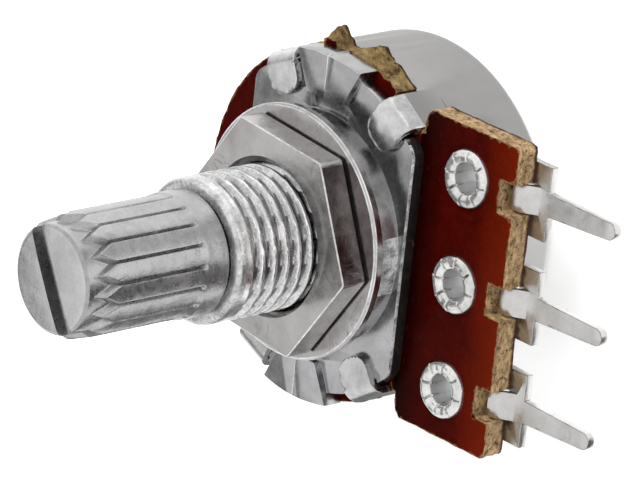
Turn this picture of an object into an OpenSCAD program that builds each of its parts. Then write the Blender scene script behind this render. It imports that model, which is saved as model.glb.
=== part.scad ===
// Rotary potentiometer with a threaded bushing, a knurled shaft and three solder pins.
// The shaft axis is Z, the cover's flat back is at Z = 0, and the terminals point towards -Y.

/* [Shaft] */
// Diameter of the shaft outside the bushing
shaft_d = 6; // [5.9:0.05:6.1]
// Diameter of the shaft inside the bushing
bearing_d = 5.2; // [4.8:0.05:5.4]
// Height of the shaft's end above the mounting face
shaft_len = 14.85; // [13:0.05:25]
// Height at which the knurl starts, above the mounting face
knurl_start = 7.9; // [7.6:0.1:9]
// Diameter over the knurl's teeth
knurl_d = 5.84; // [5.7:0.02:5.9]
// Number of teeth round the shaft
knurl_teeth = 18; // [12:1:24]
// Depth of the grooves between the teeth
knurl_depth = 0.3; // [0.15:0.01:0.34]
// Length of the pointed lead at the front of each tooth
tooth_lead = 1.3; // [0.6:0.1:1.6]
// Diameter of the smooth end in front of the teeth
nose_d = 5.2; // [5.1:0.05:5.4]
// Width of the slot across the shaft's end
slot_w = 0.95; // [0.8:0.05:1.4]
// Depth of the slot that splits the shaft's end
slot_depth = 6.3; // [1:0.1:6.4]
// Angle of the slot from the X axis
slot_angle = 30; // [0:1:90]

/* [Bushing and plate] */
// Outside diameter of the bushing thread
thread_d = 7; // [6.9:0.05:7.2]
// Height of the bushing above the mounting face
bushing_len = 6.5; // [5:0.1:7]
// Gap between the shaft and the bushing, on the radius
bearing_gap = 0.05; // [0.02:0.01:0.08]
// Diameter of the round boss that the washer seats on
boss_d = 11.4; // [10.8:0.1:11.8]
// Depth from the mounting face to the front of the flange
flange_drop = 1.35; // [1.2:0.05:1.5]
// Diameter of the round flange
flange_d = 16.1; // [15.7:0.1:16.2]
// Distance from the axis to the straight edge on the terminal side
flange_front = 5.9; // [5.8:0.1:6.5]
// Distance from the axis to the straight edge on the far side
flange_back = 5.3; // [5:0.1:5.6]
// Depth from the mounting face to the front of the two raised lobes
lobe_drop = 0.9; // [0.75:0.05:0.95]
// Half width of a lobe at its outer end
lobe_half = 2.2; // [1.9:0.05:2.4]
// Height of the crease along the middle of a lobe
lobe_crease = 0.1; // [0.04:0.02:0.16]
// Depth from the mounting face to the front of the board
board_drop = 2.1; // [1.95:0.05:2.4]

/* [Nut and washer] */
// Thickness of the washer
washer_t = 0.5; // [0.3:0.05:0.8]
// Outside diameter of the washer
washer_d = 12.3; // [11:0.1:13]
// Thickness of the nut
nut_t = 1.5; // [1.2:0.1:2.5]
// Width of the nut across its flats
nut_af = 10; // [9:0.1:11]
// Angle of the nut's first corner from the X axis
nut_angle = -35; // [-60:1:60]

/* [Board] */
// Thickness of the board
board_t = 1.2; // [1:0.05:1.6]
// Diameter of the board's round part
board_d = 17.26; // [17.1:0.02:17.6]
// Width of the board's straight part
board_w = 15.4; // [15:0.1:16]
// Distance from the line of rivets to the board's outer edge
board_edge = 3.15; // [2.8:0.05:3.8]
// Width of the notch at each terminal
notch_w = 1.5; // [1.4:0.05:1.8]
// Depth of the notch at each terminal
notch_depth = 1; // [0.8:0.05:1.2]

/* [Terminals] */
// Distance between two neighbouring terminals
pitch = 5.08; // [4.95:0.01:5.15]
// Distance from the cover's wall to the line of rivets
rivet_out = 0.4; // [0.3:0.05:0.7]
// Distance by which the outer rivets stand wider than their pins
rivet_splay = 0.14; // [0:0.02:0.2]
// Thickness of the terminal sheet
terminal_t = 0.4; // [0.3:0.05:0.5]
// Width of a terminal behind the board
terminal_w = 3.6; // [3.2:0.1:4]
// Distance from the board's outer edge to the end of the wide part
shoulder_out = 1; // [0.8:0.05:1.4]
// Width of a solder pin at its root
pin_w = 1.1; // [0.9:0.05:1.3]
// Width of a solder pin at its tip
pin_tip_w = 0.85; // [0.6:0.05:0.9]
// Length of a solder pin from the wide part
pin_len = 4.35; // [3:0.05:8]
// Diameter of the rolled head of a rivet
rivet_head_d = 2.85; // [2.6:0.05:3.1]
// Diameter of the hole through a rivet
rivet_hole_d = 1.4; // [1:0.05:1.5]

/* [Rear cover] */
// Outside diameter of the cover
cover_d = 17; // [16.9:0.02:17.1]
// Thickness of the cover's sheet
cover_t = 0.35; // [0.25:0.05:0.4]
// Depth from the mounting face to the back of the cover
cover_drop = 8.7; // [8.5:0.1:11]
// Radius of the edge at the back of the cover
cover_round = 0.7; // [0.4:0.1:1]
// Width of a folded tab
tab_w = 2; // [1.6:0.05:2.1]
// Radius from the axis at which a tab ends
tab_end = 6.4; // [6.3:0.05:6.8]
// Angle of the two tabs by the terminals, from the X axis
tab_near = 33; // [32:0.5:34]
// Angle of the two tabs on the far side, from the X axis
tab_far = 25; // [24.5:0.5:28]

/* [Rotor and contacts] */
// Angle that the shaft turns between its stops
travel = 300; // [270:5:300]
// Diameter of the rotor
rotor_d = 12.8; // [12:0.1:13.2]
// Thickness of the rotor's rim
rotor_t = 2.2; // [1.6:0.1:2.4]
// Diameter of the rotor's hub
hub_d = 6.6; // [6.2:0.1:6.8]
// Thickness of the printed layers on the board
print_t = 0.05; // [0.03:0.01:0.08]
// Distance from the rotor's rim in to the middle of the resistive track
track_in = 0.5; // [0.3:0.05:0.7]
// Width of the resistive track
track_w = 1.4; // [1:0.05:1.6]
// Radius of the middle of the collector ring
ring_r = 4.2; // [4.1:0.05:4.4]
// Width of the collector ring
ring_w = 0.9; // [0.6:0.05:1]
// Thickness of the wiper's spring sheet
wiper_t = 0.2; // [0.15:0.05:0.25]

/* [Hidden] */
$fn = 96;
eps = 0.01;

// radii
shaft_r = shaft_d / 2;
bearing_r = bearing_d / 2;
bore_r = bearing_r + bearing_gap;
thread_r = thread_d / 2;
boss_r = boss_d / 2;
flange_r = flange_d / 2;
board_r = board_d / 2;
cover_r = cover_d / 2;
nose_r = nose_d / 2;
knurl_r = knurl_d / 2;
rotor_r = rotor_d / 2;
hub_r = hub_d / 2;

// distances from the axis towards the pins
rivet_reach = cover_r + rivet_out;
board_reach = rivet_reach + board_edge;
terminal_reach = board_reach + shoulder_out;
pin_reach = terminal_reach + pin_len;

// levels along the axis
z_seat = cover_drop;
z_flange = z_seat - flange_drop;
z_lobe = z_seat - lobe_drop;
z_board = z_seat - board_drop;
z_back = z_board - board_t;
z_sheet = z_back - terminal_t;
z_print = z_back - print_t;
z_cover = 0;
z_mouth = z_seat + bushing_len;
z_knurl = z_seat + knurl_start;
z_tip = z_seat + shaft_len;
flange_t = board_drop - flange_drop;
z_nut = z_seat + washer_t;

// clearances
fit = 0.05;
slide = 0.1;

// fillets and chamfers
tip_chamfer = 0.3;
relief = 0.2;
nose_chamfer = 0.25;
shoulder_chamfer = 0.15;
corner_fillet = 0.8;
neck_gap = 0.25;
step_w = 0.8;
step_h = 0.45;
bend_r = 0.75;
lobe_chamfer = 0.08;
heel_len = 0.3;
washer_edge = 0.12;
nut_sink = 0.4;
nut_chamfer = 0.1;
corner_r = 0.4;

// the spring ring and thrust washer behind the plate, the ring's groove and their pocket
ring_t = 0.5;
ring_out = 4.1;
groove_r = bearing_r - 0.45;
pocket_r = ring_out + 0.5;
z_pocket = z_board + 1.2;
thrust_t = 0.25;
z_thrust = z_pocket - fit - thrust_t;
z_ring = z_thrust - fit - ring_t;

// the shaft's tail and the rotor on it
board_hole = bearing_r + 0.7;
tail_r = 2.4;
pip_r = 1.2;
tail_flat = 1.8;
rotor_gap = 0.55;
z_rotor = z_back - rotor_gap;
z_rim = z_rotor - rotor_t;
pip_len = 1.5;
z_tail = z_cover + cover_t + slide + pip_len;
hub_t = z_rotor - z_tail;
peen_t = 0.3;
peen_r = tail_r + 0.3;

// the turning stop: a lug on the rotor and a pressed-in rib in the cover's wall
stop_angle = 90;
rib_half = 0.6;
rib_in = rotor_r + 0.25;
lug_out = cover_r - cover_t - 0.35;
stop_margin = 0.4;
rib_arc = asin(rib_half / rib_in) + stop_margin;
lug_half = (360 - travel) / 2 - rib_arc;
lug_angle = stop_angle + 180;
z_lug_top = z_rotor - 0.4;
z_lug_low = z_rim + 0.2;

// wiper: it points away from the lug, so at rest it stands over the middle of the track
wiper_angle = lug_angle - 180;
contact_r = 0.35;
contact_gap = 0.02;
post_r = 0.4;
post_at = bearing_r + 1.15;
track_r = rotor_d / 2 - track_in;
track_over = 10;
track_gap = (360 - travel) / 2 - track_over;

// the opening in the cover's rim for the terminals
gate_half = 5.6;
gate_drop = 0.9;

// lobe outline
sink_depth = 0.3;
lobe_in = 6.45;
lobe_out = sqrt(pow(board_r, 2) - pow(lobe_half, 2));
lobe_root = lobe_half - 0.95;

module ring(r_out, r_in, h) {
    difference() {
        cylinder(r = r_out, h = h);
        translate([0, 0, -eps]) cylinder(r = r_in, h = h + 2 * eps);
    }
}

module sector(r, a0, a1) {
    // flat pie slice from angle a0 to angle a1, for spans under 350 degrees
    steps = ceil((a1 - a0) / 30);
    far = r / cos((a1 - a0) / steps / 2) + eps;
    polygon([[0, 0], for (i = [0 : steps]) let (a = a0 + (a1 - a0) * i / steps) far * [cos(a), sin(a)]]);
}

module arc_band(r, w, a0, a1) {
    intersection() {
        difference() {
            circle(r = r + w / 2);
            circle(r = r - w / 2);
        }
        sector(r + w, a0, a1);
    }
}

module at_tabs() {
    for (a = [-tab_near, tab_far, 180 - tab_far, 180 + tab_near]) rotate(a) children();
}

// Shaft

module tooth_grooves() {
    step = 360 / knurl_teeth;
    side = knurl_depth * 0.45;
    for (i = [0 : knurl_teeth - 1])
        rotate(slot_angle + (i + 0.5) * step)
            translate([knurl_r - knurl_depth, 0, z_knurl])
                linear_extrude(z_tip - z_knurl + eps)
                    polygon([[0, 0], [2 * knurl_depth, side * 2], [2 * knurl_depth, -side * 2]]);
}

module tooth_leads() {
    // tilted V cuts that meet in the middle of each tooth and point it
    step = 360 / knurl_teeth;
    half = knurl_r * sin(step / 2);
    tilt = atan((knurl_r - nose_r + 0.05) / tooth_lead);
    for (i = [0 : knurl_teeth - 1])
        rotate(slot_angle + (i + 0.5) * step)
            translate([knurl_r - 0.12, 0, z_tip - tooth_lead - nose_chamfer])
                rotate([0, -tilt, 0])
                    linear_extrude(tooth_lead * 2)
                        polygon([[0, 0], [1, half * 2.6], [1, -half * 2.6]]);
}

module shaft() {
    color([0.72, 0.72, 0.74])
    difference() {
        union() {
            // bearing, and above its shoulder the smooth length up to the knurl
            translate([0, 0, z_thrust]) cylinder(r = bearing_r, h = z_knurl - z_thrust);
            translate([0, 0, z_mouth + fit])
                cylinder(r1 = shaft_r - shoulder_chamfer, r2 = shaft_r, h = shoulder_chamfer);
            translate([0, 0, z_mouth + fit + shoulder_chamfer])
                cylinder(r = shaft_r, h = z_knurl - z_mouth - fit - shoulder_chamfer);
            difference() {
                union() {
                    translate([0, 0, z_knurl]) cylinder(r1 = shaft_r, r2 = knurl_r, h = heel_len);
                    translate([0, 0, z_knurl + heel_len]) cylinder(r = knurl_r, h = z_tip - nose_chamfer - z_knurl - heel_len);
                }
                tooth_grooves();
                tooth_leads();
            }
            // smooth nose with a chamfered end
            translate([0, 0, z_knurl - eps]) cylinder(r = nose_r, h = z_tip - nose_chamfer - z_knurl + eps);
            translate([0, 0, z_tip - nose_chamfer])
                cylinder(r1 = nose_r, r2 = nose_r - nose_chamfer, h = nose_chamfer);
            // groove for the spring ring, the collar through the board, then the flatted tail
            translate([0, 0, z_ring - fit - eps]) cylinder(r = groove_r, h = ring_t + 2 * fit + 2 * eps);
            translate([0, 0, z_rotor]) cylinder(r = bearing_r, h = z_ring - fit - z_rotor);
            intersection() {
                translate([0, 0, z_tail]) cylinder(r = tail_r, h = hub_t + eps);
                translate([-tail_r, -tail_flat, z_tail]) cube([2 * tail_r, 2 * tail_flat, hub_t + eps]);
            }
            translate([0, 0, z_tail - peen_t]) cylinder(r1 = peen_r - peen_t, r2 = peen_r, h = peen_t);
            // pip that stops the shaft from being pushed in
            translate([0, 0, z_cover + cover_t + slide]) cylinder(r = pip_r, h = z_tail - z_cover - cover_t - slide);
        }
        rotate(slot_angle)
            translate([-shaft_r, -slot_w / 2, z_tip - slot_depth])
                cube([2 * shaft_r, slot_w, slot_depth + 1]);
    }
}

// Bushing and plate

function fillet_x(h) = sqrt(pow(flange_r - corner_fillet, 2) - pow(h - corner_fillet, 2));
// the place on the rim where the corner's round meets it
function rim_point(h) = let (x = fillet_x(h), y = h - corner_fillet) flange_r / (flange_r - corner_fillet) * [x, y];

module flange_outline() {
    // a disc with two straight edges; all four corners are rounded
    far = rim_point(flange_back);
    near = rim_point(flange_front);
    xf = fillet_x(flange_back);
    xn = fillet_x(flange_front);
    difference() {
        union() {
            intersection() {
                circle(r = flange_r);
                polygon([[-xn, -flange_front], [xn, -flange_front], [near[0], -near[1]], 2 * [near[0], -near[1]],
                         2 * far, far, [xf, flange_back], [-xf, flange_back], [-far[0], far[1]],
                         2 * [-far[0], far[1]], -2 * near, -near]);
            }
            for (s = [-1, 1]) {
                translate([s * xn, corner_fillet - flange_front]) circle(r = corner_fillet);
                translate([s * xf, flange_back - corner_fillet]) circle(r = corner_fillet);
            }
        }
        at_tabs() translate([cover_r - bend_r, -tab_w / 2 - slide]) square([2, tab_w + 2 * slide]);
    }
}

module lobe_outline() {
    intersection() {
        circle(r = board_r);
        polygon([[lobe_in, lobe_root], [lobe_out, lobe_half], [lobe_out + 1, lobe_half + 0.5],
                 [lobe_out + 1, -lobe_half - 0.5], [lobe_out, -lobe_half], [lobe_in, -lobe_root]]);
    }
}

module lobe() {
    intersection() {
        translate([0, 0, z_board]) linear_extrude(board_drop) lobe_outline();
        // the outer edge is bevelled
        rotate_extrude()
            polygon([[0, z_board], [board_r, z_board], [board_r, z_lobe - lobe_crease - lobe_chamfer],
                     [board_r - lobe_chamfer, z_lobe], [0, z_lobe]]);
        // two facets that meet in a crease over Y = 0
        rotate([90, 0, 90])
            linear_extrude(board_r + 1)
                polygon([[-3, z_board - 1], [3, z_board - 1], [3, z_lobe - lobe_crease],
                         [0, z_lobe], [-3, z_lobe - lobe_crease]]);
    }
}

module bushing_plate() {
    color([0.75, 0.75, 0.77])
    difference() {
        union() {
            // the thread starts at the nut's face; behind it the bushing is relieved
            translate([0, 0, z_board]) cylinder(r = thread_r - relief, h = board_drop + washer_t + nut_t + eps);
            translate([0, 0, z_nut + nut_t]) cylinder(r = thread_r, h = z_mouth - z_nut - nut_t - tip_chamfer);
            translate([0, 0, z_seat + bushing_len - tip_chamfer])
                cylinder(r1 = thread_r, r2 = thread_r - tip_chamfer, h = tip_chamfer);
            translate([0, 0, z_board]) cylinder(r = boss_r, h = board_drop);
            translate([0, 0, z_board]) linear_extrude(flange_t) flange_outline();
            lobe();
            mirror([1, 0, 0]) lobe();
        }
        translate([0, 0, z_board - 1]) cylinder(r = bore_r, h = bushing_len + board_drop + 2);
        translate([0, 0, z_board - 1]) cylinder(r = pocket_r, h = z_pocket - z_board + 1);
        // sunken strip between the boss and each lobe
        for (a = [0, 180]) rotate(a)
            translate([0, 0, z_flange - sink_depth])
                linear_extrude(sink_depth + 1) arc_band((boss_r + lobe_in) / 2, lobe_in - boss_r - 0.1, -13, 13);
    }
}

// Nut and washer

module hex_nut() {
    corner = nut_af / sqrt(3);
    color([0.78, 0.76, 0.72])
    translate([0, 0, z_nut])
    difference() {
        intersection() {
            rotate(nut_angle) cylinder(r = corner, h = nut_t, $fn = 6);
            // the six front corners are just broken
            rotate_extrude()
                polygon([[0, 0], [corner, 0], [corner, nut_t - nut_chamfer], [corner - nut_chamfer, nut_t],
                         [0, nut_t]]);
        }
        translate([0, 0, -1]) cylinder(r = thread_r - relief + fit, h = nut_t + 2);
        translate([0, 0, nut_t - nut_sink])
            cylinder(r1 = thread_r - relief + fit, r2 = thread_r + nut_sink, h = nut_sink);
        translate([0, 0, nut_t - eps]) cylinder(r = thread_r + nut_sink, h = 1);
    }
}

module flat_washer() {
    color([0.8, 0.8, 0.8])
    translate([0, 0, z_seat])
    difference() {
        union() {
            cylinder(r = washer_d / 2, h = washer_t - washer_edge);
            translate([0, 0, washer_t - washer_edge])
                cylinder(r1 = washer_d / 2, r2 = washer_d / 2 - washer_edge, h = washer_edge);
        }
        translate([0, 0, -1]) cylinder(r = thread_r + relief, h = washer_t + 2);
    }
}

// Board

module board_notch() {
    translate([-notch_w / 2, -board_reach - 1]) square([notch_w, notch_depth + 1]);
}

module torn_stump(points, skin_out) {
    // outline from pairs of an angle and a share of the board's radius, broken off in a slope
    // that starts skin_out beyond the board's rim
    slope = 60;
    middle = (points[1][0] + points[len(points) - 2][0]) / 2;
    difference() {
        linear_extrude(board_t) difference() {
            polygon([for (p = points) p[1] * board_r * [cos(p[0]), sin(p[0])]]);
            tab_slots();
        }
        rotate(middle) translate([board_r + skin_out, -board_r, board_t]) rotate([0, slope, 0])
            cube([4, 2 * board_r, 2]);
    }
}

module torn_stumps() {
    // two stumps left on the rim where the board was snapped out of its sheet
    torn_stump([[4, 0.93], [4.2, 1], [5, 1.035], [6.8, 1.065], [8.9, 1.1], [10.6, 1.09], [11.2, 1.03], [11.6, 0.93]],
               0.3);
    torn_stump([[2, 0.93], [1.6, 0.972], [0.1, 1.01], [-6.7, 1.06], [-9, 1.075], [-12.5, 1.055], [-16.6, 1.035],
                [-22.8, 1], [-25, 0.99], [-26, 0.94]], 0);
}

module straight_part() {
    // shoulders by the tabs, then parallel sides with rounded outer corners
    half = board_w / 2;
    low = board_reach - corner_r;
    neck = flange_front + neck_gap;
    round = 0.3;
    polygon([[-half, -low], [half, -low], [half, -neck], [half - round, round - neck],
             [half - step_w, step_h - neck], [step_w - half, step_h - neck], [round - half, round - neck],
             [-half, -neck]]);
    translate([corner_r - half, -board_reach]) square([2 * (half - corner_r), corner_r + eps]);
    for (s = [-1, 1]) translate([s * (half - corner_r), -low]) circle(r = corner_r);
}

module tab_slots() {
    at_tabs() translate([cover_r - cover_t - 2 * fit, -tab_w / 2 - slide]) square([0.65, tab_w + 2 * slide]);
}

module board_outline() {
    difference() {
        union() {
            difference() {
                circle(r = board_r);
                tab_slots();
            }
            straight_part();
        }
        for (i = [-1 : 1]) translate([i * pitch, 0]) board_notch();
        for (i = [-1 : 1]) translate([i * rivet_pitch, -rivet_reach]) circle(r = rivet_r + fit);
        circle(r = board_hole);
    }
}

module wafer_board() {
    color([0.36, 0.09, 0.02])
    translate([0, 0, z_back]) union() {
        linear_extrude(board_t) board_outline();
        torn_stumps();
    }
}

// Terminals and their rivets

rivet_r = 1.05;
roll_t = 0.35;
clinch_t = 0.3;
rivet_pitch = pitch + rivet_splay;
hump_w = notch_w - 0.12;
hump_in = board_reach - notch_depth + 0.12;
hump_out = hump_in + 1.35;
hump_top = z_board - 0.45;

module hump() {
    // side view of the sheet where it is pressed up: a rounded plateau, a bend, then the slope down
    rotate([90, 0, -90])
        translate([0, 0, -hump_w / 2])
            linear_extrude(hump_w)
                polygon([[hump_in, z_back], [hump_in, hump_top - 0.25], [hump_in + 0.08, hump_top - 0.08],
                         [hump_in + 0.25, hump_top], [hump_in + 0.6, hump_top], [hump_in + 0.78, hump_top - 0.07],
                         [hump_in + 0.9, hump_top - 0.2], [hump_out - 0.1, z_back + 0.05], [hump_out, z_back],
                         [hump_out - 0.3, z_sheet], [hump_in + 0.7, hump_top - terminal_t],
                         [hump_in + 0.35, hump_top - terminal_t], [hump_in + 0.3, z_sheet], [hump_in, z_sheet]]);
}

module terminal(side = 0) {
    // side moves the head over to its rivet
    head = side * rivet_splay;
    tip_y = pin_tip_w / 2 - pin_reach;
    color([0.85, 0.85, 0.84])
    union() {
        difference() {
            translate([0, 0, z_sheet]) linear_extrude(terminal_t) {
                difference() {
                    union() {
                        translate([-terminal_w / 2, -terminal_reach]) square([terminal_w, terminal_reach - rivet_reach]);
                        translate([head, -rivet_reach]) circle(r = terminal_w / 2 - 0.2);
                        polygon([[-pin_w / 2, eps - terminal_reach], [pin_w / 2, eps - terminal_reach],
                                 [pin_tip_w / 2, tip_y], [-pin_tip_w / 2, tip_y]]);
                        translate([0, tip_y]) circle(r = pin_tip_w / 2);
                    }
                    translate([head, -rivet_reach]) circle(r = rivet_r + fit);
                }
            }
            // the sheet is pressed up through the board's notch here
            translate([-hump_w / 2, -hump_out + 0.3, z_sheet - 1]) cube([hump_w, hump_out - hump_in - 0.6, 3]);
        }
        hump();
    }
}

module terminal_1() translate([-pitch, 0, 0]) terminal(-1);
module terminal_2() terminal();
module terminal_3() translate([pitch, 0, 0]) terminal(1);

module eyelet() {
    head_r = rivet_head_d / 2;
    hole_r = rivet_hole_d / 2;
    low = z_sheet - clinch_t;
    color([0.9, 0.9, 0.9])
    translate([0, -rivet_reach, 0])
    difference() {
        rotate_extrude()
            polygon([[hole_r, low], [head_r - 0.25, low], [head_r - 0.15, z_sheet], [rivet_r, z_sheet],
                     [rivet_r, z_board], [head_r, z_board], [head_r, z_board + roll_t * 0.35],
                     [head_r - 0.2, z_board + roll_t * 0.8], [head_r - 0.5, z_board + roll_t],
                     [hole_r + 0.2, z_board + roll_t * 0.8], [hole_r, z_board + roll_t * 0.1]]);
        // splits in the rolled head
        for (a = [40 : 45 : 355])
            rotate(a) translate([hole_r - 0.2, -0.05, z_board + roll_t * 0.45]) cube([head_r, 0.1, roll_t]);
    }
}

module eyelet_1() translate([-rivet_pitch, 0, 0]) eyelet();
module eyelet_2() eyelet();
module eyelet_3() translate([rivet_pitch, 0, 0]) eyelet();

// Rear cover

module cover_shell() {
    rim = z_back;
    inner = cover_r - cover_t;
    in_round = cover_round - cover_t;
    // cup with a rounded back edge, as one turned profile
    rotate_extrude()
        difference() {
            union() {
                translate([0, z_cover + cover_round]) square([cover_r, rim - z_cover - cover_round]);
                translate([0, z_cover]) square([cover_r - cover_round, rim - z_cover]);
                translate([cover_r - cover_round, z_cover + cover_round]) circle(r = cover_round);
            }
            union() {
                translate([0, z_cover + cover_round]) square([inner, rim - z_cover]);
                translate([-1, z_cover + cover_t]) square([inner - in_round + 1, rim - z_cover]);
                translate([inner - in_round, z_cover + cover_round]) circle(r = in_round);
            }
            translate([-20, -20]) square([20, 60]);
        }
}

module cover_tab() {
    // strip up the side, a round bend and an end with rounded corners laid on the flange
    top = z_flange + cover_t;
    bend = cover_r - bend_r;
    round = 0.4 * tab_w;
    intersection() {
        rotate([90, 0, 0])
            translate([0, 0, -tab_w / 2])
                linear_extrude(tab_w)
                    union() {
                        translate([cover_r - cover_t, z_back - 1]) square([cover_t, top - z_back + 1 - bend_r]);
                        translate([tab_end, top - cover_t]) square([bend - tab_end, cover_t]);
                        intersection() {
                            translate([bend, top - bend_r]) difference() {
                                circle(r = bend_r);
                                circle(r = bend_r - cover_t);
                            }
                            translate([bend, top - bend_r]) square(bend_r);
                        }
                    }
        translate([0, 0, z_back - 2]) linear_extrude(8) union() {
            translate([tab_end + round, -tab_w / 2]) square([4, tab_w]);
            translate([tab_end, round - tab_w / 2]) square([4, tab_w - 2 * round]);
            for (s = [-1, 1]) translate([tab_end + round, s * (tab_w / 2 - round)]) circle(r = round);
        }
    }
}

module rear_cover() {
    inner = cover_r - cover_t;
    color([0.82, 0.82, 0.83])
    difference() {
        union() {
            cover_shell();
            at_tabs() cover_tab();
            // rib pressed into the wall as the turning stop
            rotate(stop_angle) translate([rib_in, -rib_half, z_lug_low]) cube([inner - rib_in + 0.15, 2 * rib_half, z_lug_top - z_lug_low]);
        }
        // gate in the rim where the terminals come out
        translate([-gate_half, -cover_r - 1, z_back - gate_drop]) cube([2 * gate_half, cover_r - 3, gate_drop + eps]);
        // the rib is hollow from outside
        rotate(stop_angle)
            translate([rib_in + cover_t, cover_t - rib_half, z_lug_low + cover_t])
                cube([4, 2 * (rib_half - cover_t), z_lug_top - z_lug_low - 2 * cover_t]);
    }
}

// Rotor, wiper and spring ring

module rotor() {
    color([0.9, 0.88, 0.8])
    difference() {
        union() {
            translate([0, 0, z_rim]) cylinder(r = rotor_r, h = rotor_t);
            translate([0, 0, z_tail]) cylinder(r = hub_r, h = hub_t);
            translate([0, 0, z_lug_low + slide])
                linear_extrude(z_lug_top - z_lug_low - 2 * slide)
                    intersection() {
                        circle(r = lug_out);
                        sector(lug_out, lug_angle - lug_half, lug_angle + lug_half);
                    }
            // posts that hold the wiper
            rotate(wiper_angle) for (s = [-1, 1])
                translate([0, s * post_at, z_rotor - eps]) cylinder(r = post_r, h = wiper_t + 0.1);
        }
        // flatted hole for the shaft's tail
        intersection() {
            translate([0, 0, z_tail - 1]) cylinder(r = tail_r + fit / 2, h = hub_t + 2);
            translate([-5, -tail_flat - fit / 2, z_tail - 1]) cube([10, 2 * tail_flat + fit, hub_t + 2]);
        }
        // moulded hollows in the back
        translate([0, 0, z_rim - 1]) difference() {
            cylinder(r = rotor_r - 0.9, h = 1 + rotor_t - 1);
            translate([0, 0, -eps]) cylinder(r = hub_r, h = 4);
            for (a = [0 : 60 : 300]) rotate(a) translate([0, -0.35, -eps]) cube([rotor_r, 0.7, 4]);
        }
    }
}

module wiper() {
    z0 = z_rotor;
    tip = z_print - contact_gap;
    color([0.85, 0.65, 0.3])
    rotate(wiper_angle) {
        difference() {
            translate([0, 0, z0]) linear_extrude(wiper_t)
                difference() {
                    union() {
                        circle(r = post_at + post_r + 0.55);
                        translate([0, -1.6]) square([track_r + 0.2, 1.2]);
                        translate([0, 0.4]) square([ring_r + 0.6, 1.2]);
                    }
                    circle(r = bearing_r + 0.3);
                    for (s = [-1, 1]) translate([0, s * post_at]) circle(r = post_r + fit);
                }
        }
        // contacts pressed up out of the sheet
        translate([track_r, -1, z0 + wiper_t - eps]) cylinder(r = contact_r, h = tip - z0 - wiper_t + eps);
        translate([ring_r, 1, z0 + wiper_t - eps]) cylinder(r = contact_r, h = tip - z0 - wiper_t + eps);
    }
}

module thrust_washer() {
    color([0.7, 0.7, 0.7])
    translate([0, 0, z_thrust]) ring(ring_out, bearing_r + fit, thrust_t);
}

module retaining_ring() {
    color([0.6, 0.6, 0.6])
    translate([0, 0, z_ring]) linear_extrude(ring_t)
        difference() {
            circle(r = ring_out);
            circle(r = groove_r + fit / 2);
            translate([0, -groove_r * 0.8]) square([ring_out + 1, groove_r * 1.6]);
        }
}

// Printed layers on the board's back

module resistive_track() {
    color([0.1, 0.1, 0.1])
    translate([0, 0, z_print]) linear_extrude(print_t) track_band();
}

module collector_ring() {
    color([0.75, 0.75, 0.78])
    translate([0, 0, z_print]) ring(ring_r + ring_w / 2, ring_r - ring_w / 2, print_t);
}

module track_band() arc_band(track_r, track_w, track_gap - 90, 270 - track_gap);

module end_pad() {
    // from the end of the track to the front of the terminal
    a = track_gap - 90;
    head = terminal_w / 2 - 0.2;
    color([0.75, 0.75, 0.78])
    difference() {
        translate([0, 0, z_print]) union() {
            linear_extrude(print_t) arc_band(track_r, track_w, a - 8, a + 1);
            linear_extrude(print_t)
                polygon([track_r * [cos(a - 8), sin(a - 8)], track_r * [cos(a), sin(a)],
                         [rivet_pitch + 0.3, head - rivet_reach + 0.2], [rivet_pitch - 1.4, 0.9 - rivet_reach]]);
        }
        translate([0, 0, z_print - 1]) linear_extrude(2) track_band();
        translate([rivet_pitch, -rivet_reach, z_print - 1]) cylinder(r = head, h = 2);
    }
}

module end_pad_1() mirror([1, 0, 0]) end_pad();
module end_pad_3() end_pad();

module centre_lead() {
    head = terminal_w / 2 - 0.2;
    color([0.75, 0.75, 0.78])
    translate([0, 0, z_print]) linear_extrude(print_t)
        difference() {
            translate([-0.6, -rivet_reach + 0.5]) square([1.2, rivet_reach - 0.5 - ring_r]);
            circle(r = ring_r + ring_w / 2);
            translate([0, -rivet_reach]) circle(r = head);
        }
}

bushing_plate();
shaft();
hex_nut();
flat_washer();
wafer_board();
rear_cover();
terminal_1();
terminal_2();
terminal_3();
eyelet_1();
eyelet_2();
eyelet_3();
rotor();
wiper();
retaining_ring();
thrust_washer();
resistive_track();
collector_ring();
end_pad_1();
end_pad_3();
centre_lead();
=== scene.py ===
import math

import bmesh
import bpy
import numpy as np
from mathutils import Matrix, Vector


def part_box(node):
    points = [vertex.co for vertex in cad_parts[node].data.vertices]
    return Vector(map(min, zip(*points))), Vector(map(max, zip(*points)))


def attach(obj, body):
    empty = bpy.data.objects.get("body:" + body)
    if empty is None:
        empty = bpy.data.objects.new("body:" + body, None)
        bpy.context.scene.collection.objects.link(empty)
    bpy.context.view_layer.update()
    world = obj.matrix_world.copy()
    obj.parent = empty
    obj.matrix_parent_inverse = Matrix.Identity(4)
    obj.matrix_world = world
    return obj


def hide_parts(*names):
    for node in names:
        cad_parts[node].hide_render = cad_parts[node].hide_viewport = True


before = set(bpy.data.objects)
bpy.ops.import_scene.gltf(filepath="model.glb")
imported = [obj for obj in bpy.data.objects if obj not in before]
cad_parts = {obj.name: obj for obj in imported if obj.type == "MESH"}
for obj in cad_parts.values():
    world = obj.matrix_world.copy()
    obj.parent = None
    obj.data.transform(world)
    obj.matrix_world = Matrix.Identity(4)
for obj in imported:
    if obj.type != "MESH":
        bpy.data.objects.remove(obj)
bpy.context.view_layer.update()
mm = 0.001
print("frame loaded:", len(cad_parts), "nodes")


# places read from the frame, in mm

def nodeBox(name):
    low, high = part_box(name)
    return np.array(low) / mm, np.array(high) / mm


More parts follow.
